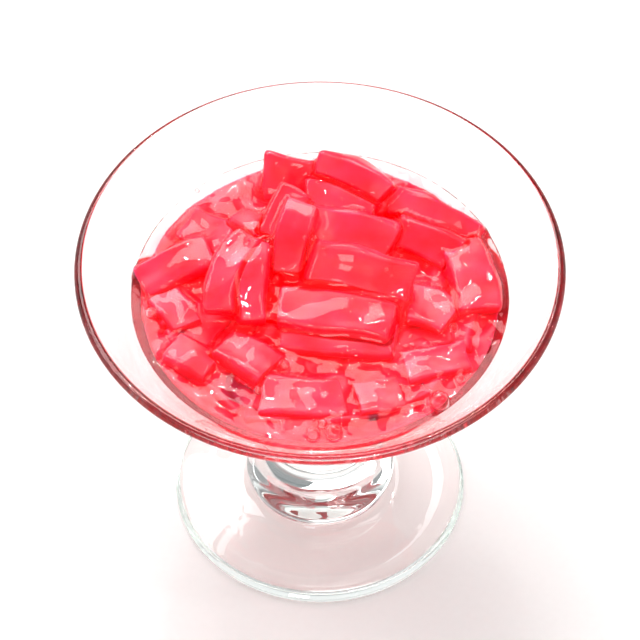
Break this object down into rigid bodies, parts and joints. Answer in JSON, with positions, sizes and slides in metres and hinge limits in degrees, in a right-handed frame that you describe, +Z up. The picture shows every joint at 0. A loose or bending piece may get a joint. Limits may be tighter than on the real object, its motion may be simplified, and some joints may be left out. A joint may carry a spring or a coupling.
{
  "type": "cut jelly dessert in footed glass",
  "caption": "Wide footed dessert glass filled with cut strips of pink jelly heaped in clear red syrup; stands on its flat foot.",
  "frame": {"origin": "centre of the foot's underside, on the surface the glass stands on", "axes": "+Z up along the glass's axis; the heap is highest towards +Y and the open syrup lies towards -Y"},
  "size_m": [0.115, 0.115, 0.0932],
  "materials": {
    "glass": "clear pressed soda glass, polished",
    "syrup": "clear red sugar syrup with soaked jelly under it",
    "jelly": "wet translucent pink jelly"
  },
  "bodies": {
    "root": {"glass": "glass", "syrup": "syrup", "strip_front_slab": "jelly", "strip_standing": "jelly", "strip_twin_left": "jelly", "strip_twin_right": "jelly", "strip_upper_slab": "jelly", "strip_lower_slab": "jelly", "strip_back_top": "jelly", "strip_boxed": "jelly", "strip_leaning": "jelly", "strip_back_left": "jelly", "strip_back_flat": "jelly", "strip_dark_chunk": "jelly", "strip_left_chunk": "jelly", "strip_left_wall": "jelly", "strip_back_right": "jelly", "strip_right_inner": "jelly", "strip_right_wall": "jelly", "strip_right_low": "jelly", "strip_left_low": "jelly", "strip_near_left": "jelly", "strip_near_outer": "jelly", "strip_near_middle": "jelly", "strip_near_round": "jelly", "strip_near_right": "jelly"}
  },
  "joints": []
}
